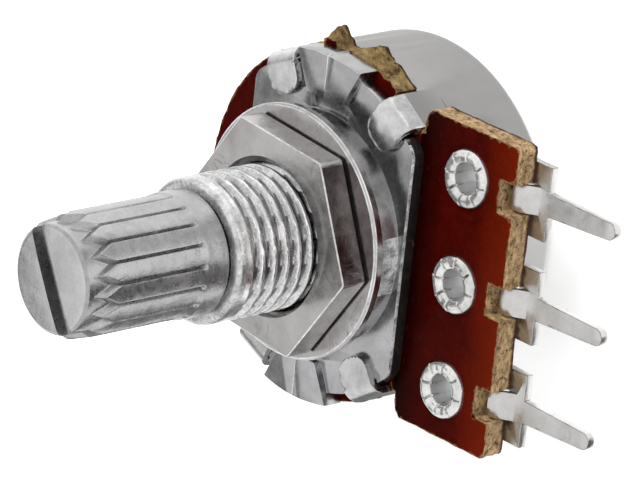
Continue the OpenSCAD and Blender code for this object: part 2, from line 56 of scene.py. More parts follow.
seatZ = nodeBox("flat_washer")[0][2]  # the panel seat, under the washer
washerTop = nodeBox("flat_washer")[1][2]
nutTop = nodeBox("hex_nut")[1][2]
mouthZ = nodeBox("bushing_plate")[1][2]
tipZ = nodeBox("shaft")[1][2]
coverTop = nodeBox("rear_cover")[1][2]
boardLow, boardHigh = nodeBox("wafer_board")
backZ, boardZ = boardLow[2], boardHigh[2]
pinBox = [nodeBox("terminal_" + str(i)) for i in (1, 2, 3)]
rivetBox = [nodeBox("eyelet_" + str(i)) for i in (1, 2, 3)]


# mesh helpers

def newObject(name, data):
    piece = bpy.data.objects.new(name, data)
    bpy.context.scene.collection.objects.link(piece)
    return piece


def smoothShade(piece, angle=32):
    for poly in piece.data.polygons:
        poly.use_smooth = True
    piece.data.set_sharp_from_angle(angle=math.radians(angle))


def gridPiece(name, grid, wrapV=True):
    # grid is (nu, nv, 3) in mm; a quad joins each point to its neighbours in u and v, u runs
    # on round to its start and v does where asked
    nu, nv = grid.shape[:2]
    a = np.arange(nu * nv).reshape(nu, nv)
    b = np.roll(a, -1, axis=0)
    if wrapV:
        quads = np.stack([a, np.roll(a, -1, 1), np.roll(b, -1, 1), b], -1)
    else:
        quads = np.stack([a[:, :-1], a[:, 1:], b[:, 1:], b[:, :-1]], -1)
    mesh = bpy.data.meshes.new(name)
    mesh.from_pydata((grid.reshape(-1, 3) * mm).tolist(), [], quads.reshape(-1, 4).tolist())
    work = bmesh.new()
    work.from_mesh(mesh)
    bmesh.ops.remove_doubles(work, verts=work.verts, dist=1e-7)
    bmesh.ops.recalc_face_normals(work, faces=work.faces)
    work.to_mesh(mesh)
    work.free()
    piece = newObject(name, mesh)
    smoothShade(piece)
    return piece


def bearings(count):
    # evenly spread bearings round an axis, as a column
    return np.linspace(0, 2 * np.pi, count, endpoint=False)[:, None]


def allRound(part, turn):
    # the same piece of profile (n, 2) at every bearing
    return np.broadcast_to(part[None], (len(turn), *part.shape))


def swept(turn, profile, centre=(0.0, 0.0)):
    # profile holds radius r and height z, and may differ from bearing to bearing:
    # x = cx + r cos turn, y = cy + r sin turn
    r, z = profile[..., 0], profile[..., 1]
    return np.stack([centre[0] + np.cos(turn) * r, centre[1] + np.sin(turn) * r, z + 0 * turn], -1)


def easeEdges(piece, width, segments=2, angle=30, material=-1):
    ease = piece.modifiers.new("ease", "BEVEL")
    ease.width = width * mm
    ease.segments = segments
    ease.limit_method = "ANGLE"
    ease.angle_limit = math.radians(angle)
    ease.material = material
    return ease


def solidCopy(name, node, bevel=0.05, segments=2, edge=None):
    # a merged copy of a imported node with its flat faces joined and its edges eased; an edge
    # material goes into the second slot, for the eased faces
    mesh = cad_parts[node].data.copy()
    mesh.materials.clear()
    if edge:
        mesh.materials.append(edge)
        mesh.materials.append(edge)
    work = bmesh.new()
    work.from_mesh(mesh)
    bmesh.ops.remove_doubles(work, verts=work.verts, dist=2e-7)
    bmesh.ops.dissolve_limit(work, angle_limit=math.radians(1), verts=work.verts, edges=work.edges)
    work.to_mesh(mesh)
    work.free()
    mesh.name = name
    piece = newObject(name, mesh)
    smoothShade(piece)
    if bevel:
        easeEdges(piece, bevel, segments, material=1 if edge else -1).harden_normals = True
    return piece


def bakeModifiers(piece):
    view = bpy.context.evaluated_depsgraph_get()
    mesh = bpy.data.meshes.new_from_object(piece.evaluated_get(view))
    piece.modifiers.clear()
    mesh.name = piece.data.name
    piece.data = mesh
    smoothShade(piece)


def cutWith(piece, cutter):
    # takes the cutter out of the piece and removes the cutter
    cut = piece.modifiers.new("cut", "BOOLEAN")
    cut.operation = "DIFFERENCE"
    cut.solver = "EXACT"
    cut.object = cutter
    bakeModifiers(piece)
    bpy.data.objects.remove(cutter)


def boxPiece(name, low, high, turn=0.0):
    # a block between two corners, turned about the shaft's axis by degrees
    corners = np.array([[x, y, z] for x in (low[0], high[0])
                        for y in (low[1], high[1]) for z in (low[2], high[2])])
    c, s = math.cos(math.radians(turn)), math.sin(math.radians(turn))
    corners[:, :2] = corners[:, :2] @ np.array([[c, s], [-s, c]])
    faces = [[0, 1, 3, 2], [4, 6, 7, 5], [0, 4, 5, 1], [2, 3, 7, 6], [0, 2, 6, 4], [1, 5, 7, 3]]
    mesh = bpy.data.meshes.new(name)
    mesh.from_pydata((corners * mm).tolist(), [], faces)
    return newObject(name, mesh)


def dice(piece, axis, places, above=-1.0):
    # parallel cuts through the faces whose middle lies above a height, so that they can bend
    work = bmesh.new()
    work.from_mesh(piece.data)
    for place in places:
        spot, normal = Vector((0, 0, 0)), Vector((0, 0, 0))
        spot[axis], normal[axis] = place * mm, 1.0
        faces = [face for face in work.faces if face.calc_center_median().z > above * mm]
        edges = {edge for face in faces for edge in face.edges}
        verts = {vert for face in faces for vert in face.verts}
        bmesh.ops.bisect_plane(work, geom=[*verts, *edges, *faces], plane_co=spot, plane_no=normal)
    work.to_mesh(piece.data)
    work.free()


def readRows(source, field):
    values = np.empty(len(source) * 3)
    source.foreach_get(field, values)
    return values.reshape(-1, 3)


def readPoints(piece):
    return readRows(piece.data.vertices, "co") / mm


def readNormals(piece):
    return readRows(piece.data.vertex_normals, "vector")


def writePoints(piece, points):
    piece.data.vertices.foreach_set("co", (points * mm).ravel())
    piece.data.update()


def lump(points, size, seed=0):
    # smooth noise from -1 to 1: the corners of a lattice of the given size hold a hash
    # h = frac(sin(i.k) 43758.5) and are blended with 3t^2 - 2t^3
    q = points / size + seed * 17.3
    cell = np.floor(q)
    t = q - cell
    t = t * t * (3 - 2 * t)
    total = 0
    for corner in np.ndindex(2, 2, 2):
        spot = cell + corner
        value = np.sin(spot @ np.array([127.1, 311.7, 74.7])) * 43758.5
        weight = np.prod(np.where(corner, t, 1 - t), axis=-1)
        total = total + (value - np.floor(value)) * weight
    return total * 2 - 1


# shaders

class Builder:
    # small wrapper that adds a node, sets its fields and links its inputs
    def __init__(self, tree):
        self.tree = tree

    def put(self, value, target):
        # a socket is linked to the target, anything else is written into it
        if isinstance(value, bpy.types.NodeSocket):
            self.tree.links.new(value, target)
        else:
            target.default_value = value

    def add(self, kind, inputs=None, **fields):
        node = self.tree.nodes.new("ShaderNode" + kind)
        for field, value in fields.items():
            setattr(node, field, value)
        for key, value in (inputs or {}).items():
            self.put(value, node.inputs[key])
        return node

    def place(self):
        return self.add("TexCoord").outputs["Object"]

    def math(self, operation, a, b=0.0):
        return self.add("Math", {0: a, 1: b}, operation=operation).outputs[0]

    def scaled(self, source, low, high, to0=0.0, to1=1.0):
        return self.add("MapRange", {"Value": source, "From Min": low, "From Max": high,
                                     "To Min": to0, "To Max": to1}).outputs["Result"]

    def mix(self, factor, a, b):
        # each colour is a socket or three numbers
        a, b = [(*tone, 1) if isinstance(tone, tuple) else tone for tone in (a, b)]
        return self.add("Mix", {0: factor, 6: a, 7: b}, data_type="RGBA").outputs[2]

    def noise(self, place, scale, detail=2.0, roughness=0.5):
        inputs = {"Vector": place, "Scale": scale, "Detail": detail, "Roughness": roughness}
        return self.add("TexNoise", inputs).outputs["Fac"]

    def bump(self, height, strength, distance):
        inputs = {"Height": height, "Strength": strength, "Distance": distance}
        return self.add("Bump", inputs)

    def group(self, tree, scale):
        return self.add("Group", {"Scale": scale}, node_tree=tree).outputs


def makeGroup(name, scale, outputs, build):
    # shared shader group with a Scale input and the named outputs
    group = bpy.data.node_groups.new(name, "ShaderNodeTree")
    socket = group.interface.new_socket("Scale", in_out="INPUT", socket_type="NodeSocketFloat")
    socket.default_value = scale
    for label in outputs:
        group.interface.new_socket(label, in_out="OUTPUT", socket_type="NodeSocketFloat")
    build(Builder(group), group.nodes.new("NodeGroupInput"), group.nodes.new("NodeGroupOutput"))
    return group


def buildMottle(b, start, end):
    # two noises of different size, blended: cast skin, fingerprints and dull patches
    place, scale = b.place(), start.outputs["Scale"]
    broad = b.noise(place, scale, 4.0, 0.6)
    close = b.noise(place, b.math("MULTIPLY", scale, 5.5), 5.0, 0.7)
    both = b.math("ADD", b.math("MULTIPLY", broad, 0.55), b.math("MULTIPLY", close, 0.45))
    b.put(b.scaled(both, 0.36, 0.64), end.inputs["Mask"])
    b.put(close, end.inputs["Grain"])


def buildScratches(b, start, end):
    # thin curved lines where a stretched, warped noise crosses its middle value, gated so
    # that only some patches have them
    place = b.place()
    bend = b.add("TexNoise", {"Vector": place, "Scale": 300.0, "Detail": 2.0}).outputs["Color"]
    small = b.add("VectorMath", {0: bend, "Scale": 0.0006}, operation="SCALE").outputs[0]
    warped = b.add("VectorMath", {0: place, 1: bend, 2: small}, operation="MULTIPLY_ADD").outputs[0]
    wide = b.add("Mapping", {"Vector": warped, "Scale": (1.0, 7.0, 1.0),
                             "Rotation": (0.0, 0.3, 0.9)}).outputs[0]
    lines = b.noise(wide, start.outputs["Scale"], 3.0)
    near = b.math("ABSOLUTE", b.math("SUBTRACT", lines, 0.5))
    thin = b.scaled(near, 0.0, 0.012, 1.0, 0.0)
    some = b.scaled(b.noise(place, 420.0), 0.52, 0.6)
    b.put(b.math("MULTIPLY", thin, some), end.inputs["Mask"])


mottle = makeGroup("mottle", 400.0, ["Mask", "Grain"], buildMottle)
scratches = makeGroup("scratches", 300.0, ["Mask"], buildScratches)
grainDepth = 0.00004  # height of the fine grain's bump, m


def newMaterial(name):
    material = bpy.data.materials.new(name)
    material.use_nodes = True
    shader = material.node_tree.nodes["Principled BSDF"]
    return material, Builder(material.node_tree), shader


def grainRough(b, patch, rough):
    # roughness between two values by the mottle's grain
    return b.scaled(patch["Grain"], 0.3, 0.7, *rough)


def grey(shade):
    return (shade, shade, shade)


def metalMaterial(name, look):
    # satin metal: two tones by patches, roughness by grain, fine scratches, and two bumps,
    # slow waves that bend the reflections and a fine grain
    look = {**commonMetal, **look}
    material, b, shader = newMaterial(name)
    patch = b.group(mottle, look["patchScale"])
    lines = b.group(scratches, look["scratchScale"])
    tone = b.mix(patch["Mask"], look["dark"], look["light"])
    mark = b.math("MULTIPLY", lines["Mask"], look["scratch"])
    b.put(b.mix(mark, tone, look["scratchTone"]), shader.inputs["Base Color"])
    b.put(grainRough(b, patch, look["rough"]), shader.inputs["Roughness"])
    b.put(look["metal"], shader.inputs["Metallic"])
    wave = b.bump(b.noise(b.place(), look["waveScale"]), 1.0, look["wave"])
    height = b.math("SUBTRACT", patch["Grain"], b.math("MULTIPLY", mark, 0.5))
    grain = b.bump(height, look["bump"], grainDepth)
    b.put(wave.outputs[0], grain.inputs["Normal"])
    b.put(grain.outputs[0], shader.inputs["Normal"])
    return material


# scales are noise cells per metre, wave is the height of the slow waves in m
commonMetal = {"metal": 1.0, "scratch": 0.2, "scratchScale": 300.0, "bump": 0.3, "waveScale": 300.0}
metalLooks = {
    "plateMetal": {
        "dark": (0.34, 0.34, 0.345), "light": (0.54, 0.54, 0.55), "patchScale": 180.0,
        "scratchScale": 260.0, "scratchTone": (0.1, 0.09, 0.09), "rough": (0.16, 0.3), "bump": 0.15,
        "waveScale": 240.0, "wave": 0.00012},
    "threadMetal": {
        "dark": (0.34, 0.34, 0.345), "light": grey(0.88), "patchScale": 900.0, "scratchScale": 260.0,
        "scratch": 0.3, "scratchTone": grey(0.15), "rough": (0.16, 0.3), "bump": 0.5,
        "waveScale": 600.0, "wave": 0.00008},
    "tabMetal": {
        "dark": grey(0.4), "light": grey(0.74), "patchScale": 260.0, "scratchScale": 260.0,
        "scratchTone": grey(0.12), "rough": (0.14, 0.26), "bump": 0.15, "wave": 0.00012},
    "boreMetal": {
        "dark": grey(0.46), "light": grey(0.6), "patchScale": 300.0, "scratch": 0.1,
        "scratchTone": grey(0.4), "rough": (0.4, 0.55), "metal": 0.8, "bump": 0.1, "waveScale": 200.0,
        "wave": 0.00003},
    # painted highlight: a bright metal for eased edges, crests and one side of each crease
    "edgeHighlightMetal": {
        "dark": grey(0.42), "light": grey(0.95), "patchScale": 500.0, "scratchScale": 400.0,
        "scratchTone": grey(0.3), "rough": (0.12, 0.24), "waveScale": 700.0, "wave": 0.00005},
    "tinEdge": {
        "dark": grey(0.1), "light": grey(0.5), "patchScale": 900.0, "scratchScale": 400.0,
        "scratch": 0.3, "scratchTone": grey(0.9), "rough": (0.2, 0.4), "waveScale": 500.0,
        "wave": 0.00005},
    # painted light: a brighter metal for the shaft's end face
    "litEndMetal": {
        "dark": grey(0.44), "light": grey(0.66), "patchScale": 300.0, "scratch": 0.3,
        "scratchTone": grey(0.2), "rough": (0.2, 0.34), "wave": 0.00008},
    # painted shade: a darker metal for the thread's roots
    "rootShadeMetal": {
        "dark": (0.16, 0.155, 0.155), "light": (0.34, 0.33, 0.33), "patchScale": 400.0, "scratch": 0.3,
        "scratchTone": grey(0.6), "rough": (0.2, 0.34), "bump": 0.2, "wave": 0.00008},
    # painted shade: a darker metal for the nut's flat towards the pins
    "shadedFlatMetal": {
        "dark": (0.1, 0.07, 0.07), "light": (0.31, 0.29, 0.29), "patchScale": 260.0, "scratch": 0.4,
        "scratchTone": grey(0.6), "rough": (0.16, 0.3), "wave": 0.00012},
    "roughMetal": {
        "dark": grey(0.02), "light": grey(0.85), "patchScale": 1900.0, "scratchScale": 500.0,
        "scratch": 0.5, "scratchTone": grey(0.9), "rough": (0.4, 0.6), "metal": 0.2, "bump": 0.8,
        "waveScale": 900.0, "wave": 0.0001},
    "slotMetal": {
        "dark": grey(0.2), "light": grey(0.6), "patchScale": 700.0, "scratchTone": grey(0.2),
        "rough": (0.3, 0.5), "metal": 0.5, "bump": 0.5, "waveScale": 500.0, "wave": 0.0001},
    # painted shade: near-black metal for the gap under the plate's flange and between nut and washer
    "shadeMetal": {
        "dark": (0.006, 0.005, 0.005), "light": (0.03, 0.022, 0.022), "patchScale": 900.0,
        "scratchScale": 500.0, "scratch": 0.6, "scratchTone": (0.2, 0.19, 0.19), "rough": (0.35, 0.6),
        "metal": 0.3, "bump": 0.6, "waveScale": 500.0, "wave": 0.0001},
    "steelMetal": {
        "dark": grey(0.34), "light": grey(0.48), "patchScale": 500.0, "scratchTone": grey(0.7),
        "rough": (0.25, 0.4), "bump": 0.2, "wave": 0.00005},
    "bronzeMetal": {
        "dark": (0.5, 0.3, 0.12), "light": (0.68, 0.44, 0.19), "patchScale": 500.0, "scratch": 0.3,
        "scratchTone": (0.3, 0.16, 0.06), "rough": (0.2, 0.35), "bump": 0.2, "wave": 0.00005},
    "shaftMetal": {
        "dark": (0.33, 0.33, 0.335), "light": (0.51, 0.51, 0.515), "patchScale": 420.0, "scratch": 0.3,
        "scratchTone": grey(0.75), "rough": (0.2, 0.36), "bump": 0.5, "waveScale": 420.0,
        "wave": 0.00014},
    "nutMetal": {
        "dark": (0.4, 0.385, 0.38), "light": (0.58, 0.57, 0.56), "patchScale": 220.0,
        "scratchScale": 340.0, "scratch": 0.5, "scratchTone": (0.12, 0.09, 0.08), "rough": (0.16, 0.3),
        "bump": 0.15, "waveScale": 240.0, "wave": 0.00012},
    "coverMetal": {
        "dark": (0.315, 0.31, 0.305), "light": (0.36, 0.355, 0.35), "patchScale": 120.0,
        "scratchScale": 200.0, "scratch": 0.05, "scratchTone": grey(0.3), "rough": (0.34, 0.38),
        "bump": 0.02, "waveScale": 120.0, "wave": 0.000004},
    "pinTin": {
        "dark": (0.5, 0.485, 0.47), "light": (0.7, 0.69, 0.68), "patchScale": 300.0,
        "scratchScale": 240.0, "scratch": 0.35, "scratchTone": (0.2, 0.19, 0.18), "rough": (0.24, 0.4),
        "waveScale": 330.0, "wave": 0.0001},
    "rivetTin": {
        "dark": (0.52, 0.52, 0.51), "light": (0.95, 0.95, 0.94), "patchScale": 420.0,
        "scratchTone": grey(0.2), "rough": (0.14, 0.26), "bump": 0.12, "waveScale": 400.0,
        "wave": 0.00006},
}
metals = {name: metalMaterial(name, look) for name, look in metalLooks.items()}


# runs are start and end in mm from the shaft's axis towards the pins, then the two strengths
skinLook = {
    "dark": (0.026, 0.0007, 0.0002), "light": (0.062, 0.0022, 0.0004), "patchScale": 300.0,
    # shade and deep are painted shade that grows towards the plate
    "gateRun": (5.5, 5.6), "shadeRun": (5.8, 11.0, 0.7, 0.0), "shade": (0.016, 0.0006, 0.0002),
    "deepRun": (5.7, 7.6, 1.0, 0.0), "deep": (0.004, 0.0003, 0.0002),
    "outerRun": (9.8, 12.0, 0.0, 0.5), "outer": (0.15, 0.013, 0.0008),
    "speckScale": 5200.0, "speckRun": (0.66, 0.74, 0.0, 0.15), "speck": (0.13, 0.025, 0.008),
    "chipScale": 2100.0, "chipReach": 0.26, "chipPale": (0.30, 0.17, 0.085),
    "chipDark": (0.11, 0.05, 0.02), "rough": (0.22, 0.34), "specular": 0.02}


def laminateFace(name, look):
    # glossy red-brown skin with darker clouds and pin-prick specks; along its rim the skin is
    # chipped where a noise passes the stored distance to the edge, and the tan core shows
    material, b, shader = newMaterial(name)
    place = b.place()
    patch = b.group(mottle, look["patchScale"])
    tone = b.mix(patch["Mask"], look["dark"], look["light"])
    # painted shade: darker where it runs in under the plate; warmer at the outer end
    outward = b.math("MULTIPLY", b.add("SeparateXYZ", {"Vector": place}).outputs["Y"], -1000.0)
    beyond = b.scaled(outward, *look["gateRun"])
    for key in ("shade", "deep"):
        share = b.math("MULTIPLY", b.scaled(outward, *look[key + "Run"]), beyond)
        tone = b.mix(share, tone, look[key])
    tone = b.mix(b.scaled(outward, *look["outerRun"]), tone, look["outer"])
    speck = b.noise(place, look["speckScale"])
    tone = b.mix(b.scaled(speck, *look["speckRun"]), tone, look["speck"])
    rim = b.add("Attribute", attribute_name="rim").outputs["Fac"]
    ragged = b.noise(place, look["chipScale"], 5.0, 0.7)
    reach = b.scaled(ragged, 0.42, 0.72, 0.0, look["chipReach"])
    chip = b.scaled(b.math("SUBTRACT", reach, rim), -0.02, 0.03)
    core = b.mix(b.scaled(ragged, 0.4, 0.65), look["chipPale"], look["chipDark"])
    b.put(b.mix(chip, tone, core), shader.inputs["Base Color"])
    rough = b.math("MAXIMUM", grainRough(b, patch, look["rough"]), b.math("MULTIPLY", chip, 0.8))
    b.put(rough, shader.inputs["Roughness"])
    b.put(look["specular"], shader.inputs["Specular IOR Level"])
    height = b.math("SUBTRACT", b.math("MULTIPLY", patch["Grain"], 0.3), chip)
    b.put(b.bump(height, 0.5, 0.00005).outputs[0], shader.inputs["Normal"])
    return material


sawnLook = {"dark": (0.10, 0.05, 0.02), "light": (0.62, 0.43, 0.23), "speck": (0.05, 0.016, 0.006),
            "fibreScale": 1900.0, "speckScale": 3400.0, "relief": 0.00012}
tornLook = {"dark": (0.055, 0.022, 0.005), "light": (0.46, 0.33, 0.14), "speck": (0.04, 0.008, 0.003),
            "fibreScale": 800.0, "speckScale": 1300.0, "relief": 0.0005}


def laminateCore(name, look):
    # sawn or torn paper layers: fine fibres with brown specks, and a dark skin along the back
    material, b, shader = newMaterial(name)
    place = b.place()
    layered = b.add("Mapping", {"Vector": place, "Scale": (1.0, 1.0, 1.8)}).outputs[0]
    fibre = b.noise(layered, look["fibreScale"], 7.0, 0.8)
    speck = b.noise(place, look["speckScale"], 4.0, 0.7)
    tone = b.mix(b.scaled(fibre, 0.36, 0.64), look["dark"], look["light"])
    tone = b.mix(b.scaled(speck, 0.54, 0.64, 0.0, 0.85), tone, look["speck"])
    height = b.add("SeparateXYZ", {"Vector": place}).outputs["Z"]
    ragged = b.math("ADD", height, b.math("MULTIPLY", fibre, 0.0002))
    skin = b.scaled(ragged, (backZ + 0.20) * mm, (backZ + 0.32) * mm, 0.9, 0.0)
    b.put(b.mix(skin, tone, (0.035, 0.006, 0.003)), shader.inputs["Base Color"])
    b.put(0.8, shader.inputs["Roughness"])
    b.put(0.2, shader.inputs["Specular IOR Level"])
    b.put(b.bump(fibre, 0.9, look["relief"]).outputs[0], shader.inputs["Normal"])
    return material


plainLooks = {
    "rotorPlastic": {"dark": (0.035, 0.035, 0.037), "light": (0.055, 0.055, 0.058), "scale": 500.0,
                     "rough": (0.4, 0.55), "metal": 0.0, "bump": 0.2},
    "carbonFilm": {"dark": (0.012, 0.012, 0.013), "light": (0.028, 0.028, 0.03), "scale": 1500.0,
                   "rough": (0.5, 0.7), "metal": 0.0, "bump": 0.4},
    "silverPrint": {"dark": (0.50, 0.50, 0.51), "light": (0.72, 0.72, 0.73), "scale": 1200.0,
                    "rough": (0.4, 0.6), "metal": 0.6, "bump": 0.4}}


def plainMaterial(name, look):
    # moulded plastic, fired carbon or silver print: two close tones and a fine grain
    material, b, shader = newMaterial(name)
    patch = b.group(mottle, look["scale"])
    b.put(b.mix(patch["Mask"], look["dark"], look["light"]), shader.inputs["Base Color"])
    b.put(grainRough(b, patch, look["rough"]), shader.inputs["Roughness"])
    b.put(look["metal"], shader.inputs["Metallic"])
    b.put(b.bump(patch["Grain"], look["bump"], grainDepth).outputs[0], shader.inputs["Normal"])
    return material


plains = {name: plainMaterial(name, look) for name, look in plainLooks.items()}
faceLaminate = laminateFace("laminateFace", skinLook)
coreLaminate = laminateCore("laminateCore", sawnLook)
tornLaminate = laminateCore("laminateTorn", tornLook)
print("materials made")


def dress(piece, material, body, nodes, extra=()):
    # the first slot takes the material, eased faces keep the second and extra ones follow
    if not piece.data.materials:
        piece.data.materials.append(material)
    piece.data.materials[0] = material
    for other in extra:
        piece.data.materials.append(other)
    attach(piece, body)
    if nodes:
        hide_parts(*nodes)


def paintFaces(piece, choose):
    # choose gives each face its slot, from its middle in mm, its normal and the slot it has
    for poly in piece.data.polygons:
        poly.material_index = choose(poly.center / mm, poly.normal, poly.material_index)


# plate

plateSize = {"ease": 0.07, "shave": (2.7, 3.6), "flange": 0.35, "sideCuts": (0.28, 0.18), "shadeDrop": 0.2,
             "sideY": -5.0, "bandY": -5.5, "creaseCuts": (-0.03, 0, 0.035), "creaseX": (6.5, 9),
             "crease": 0.05, "brightX": (6.2, 8.7), "brightY": 0.035, "lobe": 0.2}
flangeZ = coverTop - plateSize["flange"]


def makePlate():
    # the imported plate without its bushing, its edges eased and the lobes' creases sunk
    size = plateSize
    plate = solidCopy("plateCasting", "bushing_plate", bevel=0, edge=metals["edgeHighlightMetal"])
    low, high, (near, far) = seatZ + 0.02, mouthZ + 1, size["shave"]
    wall = np.array([[near, low], [far, low], [far, high], [near, high]])
    cutWith(plate, gridPiece("shaver", swept(bearings(128), wall[None])))
    # the eased faces take the bright edge material, a painted highlight
    easeEdges(plate, size["ease"], angle=35, material=1)
    bakeModifiers(plate)
    dice(plate, 2, [flangeZ - cut for cut in size["sideCuts"]])
    dice(plate, 1, size["creaseCuts"])
    points = readPoints(plate)
    x, y, z = np.abs(points[:, 0]), np.abs(points[:, 1]), points[:, 2]
    onLobe = (z > flangeZ + size["lobe"]) & (x > size["creaseX"][0]) & (x < size["creaseX"][1])
    points[:, 2] -= size["crease"] * (onLobe & (y < 0.01))
    writePoints(plate, points)
    smoothShade(plate)
    return plate


def plateFace(middle, normal, slot):
    # a painted highlight along one side of each crease; painted shade on the straight side over the pins
    # below a bare front band
    size = plateSize
    onLobe = size["brightX"][0] < abs(middle.x) < size["brightX"][1] and middle.z > flangeZ + size["lobe"]
    if onLobe and 0 < middle.y < size["brightY"]:
        return 1
    if normal.y < -0.5 and middle.y < size["sideY"] and middle.z < flangeZ - size["shadeDrop"]:
        return 2
    if normal.y < -0.5 and middle.y < size["bandY"]:
        return 3
    return slot


plate = makePlate()
dress(plate, metals["plateMetal"], "case", ["bushing_plate"],
      [metals["shadeMetal"], metals["roughMetal"]])
paintFaces(plate, plateFace)


# bushing

# the outer crest band takes a painted highlight, the band below the dark depth painted shade
thread = {"crest": 3.5, "depth": 0.3, "pitch": 0.75, "runOut": 0.75, "fade": 0.25, "bore": 2.65,
          "root": 0.4, "lip": 0.3, "ease": 0.1, "smooth": 0.5, "worn": 0.05, "dark": 0.24}


def threadRadius(turn, z):
    # crest radius less a rounded groove whose place climbs one pitch each turn,
    # faded out over the smooth band at the mouth
    phase = (z / thread["pitch"] - turn / (2 * np.pi)) % 1.0
    groove = 0.5 + 0.5 * np.cos(2 * np.pi * phase)
    groove = np.clip(groove * 1.5 - 0.1, 0, 1)
    fade = np.clip((mouthZ - thread["runOut"] - z) / thread["fade"], 0, 1)
    return thread["crest"] - thread["depth"] * groove * fade


def makeBushing():
    turn = bearings(192)
    low, lip, bore, ease = seatZ - thread["root"], thread["lip"], thread["bore"], thread["ease"]
    z = np.linspace(low, mouthZ - lip, 150)[None]
    outer = np.stack([threadRadius(turn, z), z + 0 * turn], -1)
    bend = np.linspace(0, np.pi / 2, 7)
    mouth = np.stack([thread["crest"] - lip + lip * np.cos(bend), mouthZ - lip + lip * np.sin(bend)], -1)
    inside = np.array([[bore + ease, mouthZ], [bore, mouthZ - ease], [bore, mouthZ - 2.0], [bore, low]])
    both = np.concatenate([outer, allRound(np.vstack([mouth, inside]), turn)], axis=1)
    return gridPiece("bushingThread", swept(turn, both))


def bushingFace(middle, normal, slot):
    # a painted highlight along the crests, painted shade in the roots
    reach = math.hypot(middle.x, middle.y)
    if middle.z > mouthZ - thread["smooth"] or reach < thread["bore"] + thread["ease"]:
        return slot
    if reach > thread["crest"] - thread["worn"]:
        return 1
    return 2 if reach < thread["crest"] - thread["dark"] else 0


bushing = makeBushing()
dress(bushing, metals["threadMetal"], "case", [],
      [metals["edgeHighlightMetal"], metals["rootShadeMetal"]])
paintFaces(bushing, bushingFace)
print("plate and bushing made")


# shaft

shaftSize = {"radius": 3.0, "teeth": 18, "toothTop": 2.92, "toothFoot": 2.72, "nose": 2.6,
             "leadStart": 0.5, "leadSlant": 1.0, "leadRise": 0.45, "knurlStart": 7.9, "heel": 0.3,
             "slotWidth": 0.95, "slotDepth": 6.3, "slotTurn": 30.0, "slotMouth": 0.7,
             "slotStep": 0.08, "endDepth": 0.12, "flat": 0.97, "flank": 0.14, "gap": 0.05, "neck": 2.6,
             "neckDepth": 0.6, "shoulder": 0.15, "round": 0.32, "roundRise": 0.25, "roundBack": 0.30}


def toothRadius(turn, z):
    # flat-topped teeth with narrow V grooves; across runs from 0 at a tooth's middle to 1 in
    # a groove, and the front ramp lies further back the further across, so teeth end in points
    size = shaftSize
    step = 2 * np.pi / size["teeth"]
    across = np.abs(((turn - math.radians(size["slotTurn"])) / step + 0.5) % 1.0 - 0.5) * 2
    body = np.clip((size["flat"] - across) / size["flank"], 0, 1)
    lead = tipZ - size["leadStart"] - size["leadSlant"] * across
    front = np.clip((lead - z) / size["leadRise"], 0, 1)
    start = seatZ + size["knurlStart"]
    back = np.clip(1 - (z - start) / size["heel"], 0, 1)
    tall = size["toothTop"] - size["nose"]
    foot = (size["toothFoot"] - size["nose"]) * np.clip(front * 2, 0, 1)
    teeth = size["nose"] + np.minimum(tall * front, foot + (tall - foot) * body)
    heel = size["toothTop"] + (size["radius"] - size["toothTop"]) * back
    teeth = np.where(body >= 1, teeth + (heel - size["toothTop"]), teeth)
    rear = np.clip((z - start) / (size["heel"] * 1.2), 0, 1)
    knurl = np.where(z > start + 0.06, heel + (teeth - heel) * rear, heel)
    return np.where(z < start, size["radius"], knurl)


def makeShaft():
    # smooth part, teeth and rounded end, from the shoulder at the bushing's mouth outwards
    size = shaftSize
    turn = bearings(size["teeth"] * 24)
    low, start, neck = mouthZ + size["gap"], seatZ + size["knurlStart"], size["neck"]
    runs = [(low + 0.4, start - 0.05, 5), (start, start + 0.5, 12), (start + 0.7, tipZ - 2.2, 14),
            (tipZ - 2.1, tipZ - 0.42, 40)]
    z = np.concatenate([[low + size["shoulder"]], *(np.linspace(*run) for run in runs)])[None]
    outer = np.stack([toothRadius(turn, z), z + 0 * turn], -1)
    under = np.array([[0.001, low - size["neckDepth"]], [neck, low - size["neckDepth"]], [neck, low],
                      [size["radius"] - size["shoulder"], low]])
    bend = np.linspace(0, np.pi / 2, 9)
    end = np.stack([size["nose"] + size["round"] * (np.cos(bend) - 1),
                    tipZ - size["roundBack"] + size["roundRise"] * np.sin(bend)], -1)
    dome = np.array([[1.9, tipZ - 0.03], [1.4, tipZ - 0.01], [0.8, tipZ], [0.001, tipZ]])
    parts = [allRound(under, turn), outer, allRound(end, turn), allRound(dome, turn)]
    shaft = gridPiece("shaftBody", swept(turn, np.concatenate(parts, axis=1)), wrapV=False)
    # the slot is a little wider at its mouth
    wide = size["slotWidth"] / 2
    for half, floorZ, topZ in ((wide, tipZ - size["slotMouth"], tipZ + 1),
                               (wide - size["slotStep"], tipZ - size["slotDepth"], tipZ - 0.6)):
        cutWith(shaft, boxPiece("slotTool", (-4, -half, floorZ), (4, half, topZ), size["slotTurn"]))
    return shaft


def shaftFace(middle, normal, slot):
    # painted light: the turned end face is given a brighter tone; the slot's floor and walls are grimy
    if middle.z > tipZ - shaftSize["endDepth"]:
        return int(normal.z > 0.9)
    deep = middle.z > tipZ - shaftSize["slotDepth"] - 0.1
    return 2 if deep and math.hypot(middle.x, middle.y) < 2.45 else 0


shaft = makeShaft()
dress(shaft, metals["shaftMetal"], "spindle", ["shaft"],
      [metals["litEndMetal"], metals["slotMetal"]])
paintFaces(shaft, shaftFace)
tail = solidCopy("shaftTail", "shaft", bevel=0)
cutWith(tail, boxPiece("tailTool", (-5, -5, mouthZ - 0.6), (5, 5, tipZ + 2)))
dress(tail, metals["shaftMetal"], "spindle", [])
print("shaft made")


# nut and washer

nutSize = {"flats": 10.0, "turn": -35.0, "bore": 3.55, "front": 0.055, "back": 0.16, "sink": 0.3,
           "cornerCut": 0.03, "cornerTurn": 0.25}


